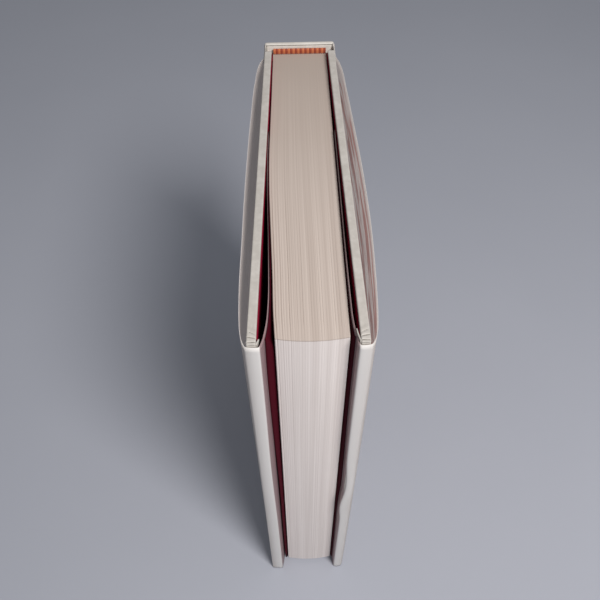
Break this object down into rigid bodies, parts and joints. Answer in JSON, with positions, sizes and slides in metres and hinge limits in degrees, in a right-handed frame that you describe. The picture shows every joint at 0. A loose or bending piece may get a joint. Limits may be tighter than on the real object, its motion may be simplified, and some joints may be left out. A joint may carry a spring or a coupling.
{
  "type": "hardback book",
  "caption": "Upright case-bound book with flat spine, striped headbands, dark red endpapers and a loose paper dust jacket; both covers open on hinges.",
  "frame": {"origin": "middle of the footprint, on the surface that the tail edge stands on", "axes": "+Z from tail to head, +Y towards the spine, +X towards the front cover"},
  "size_m": [0.0392, 0.1348, 0.194],
  "materials": {
    "page_paper": "matt uncoated leaves, edges trimmed",
    "endpaper": "matt dyed paper",
    "band_cotton": "woven in two oranges",
    "mull": "open starched weave",
    "lining_paper": "brown wrapping stock",
    "greyboard": "pressed fibre",
    "covering_paper": "cream, faintly grained",
    "jacket_paper": "thin, smooth, slightly glossy"
  },
  "bodies": {
    "book_block": {"text_block": "page_paper", "head_band": "band_cotton", "tail_band": "band_cotton", "spine_gauze": "mull", "spine_liner": "lining_paper", "spine_board": "greyboard", "spine_covering": "covering_paper", "jacket_spine": "jacket_paper", "front_flyleaf": "endpaper", "back_flyleaf": "endpaper"},
    "front_cover": {"front_board": "greyboard", "front_covering": "covering_paper", "front_gauze_flange": "mull", "front_pastedown": "endpaper", "front_jacket": "jacket_paper"},
    "back_cover": {"back_board": "greyboard", "back_covering": "covering_paper", "back_gauze_flange": "mull", "back_pastedown": "endpaper", "back_jacket": "jacket_paper"}
  },
  "joints": [
    {"name": "front_cover_hinge", "type": "hinge", "parent": "book_block", "child": "front_cover", "pos_m": [0.01328, 0.0631, 0.097], "axis": [0, 0, 1], "range_deg": [0, 175]},
    {"name": "back_cover_hinge", "type": "hinge", "parent": "book_block", "child": "back_cover", "pos_m": [-0.01292, 0.0631, 0.097], "axis": [0, 0, -1], "range_deg": [0, 175]}
  ]
}
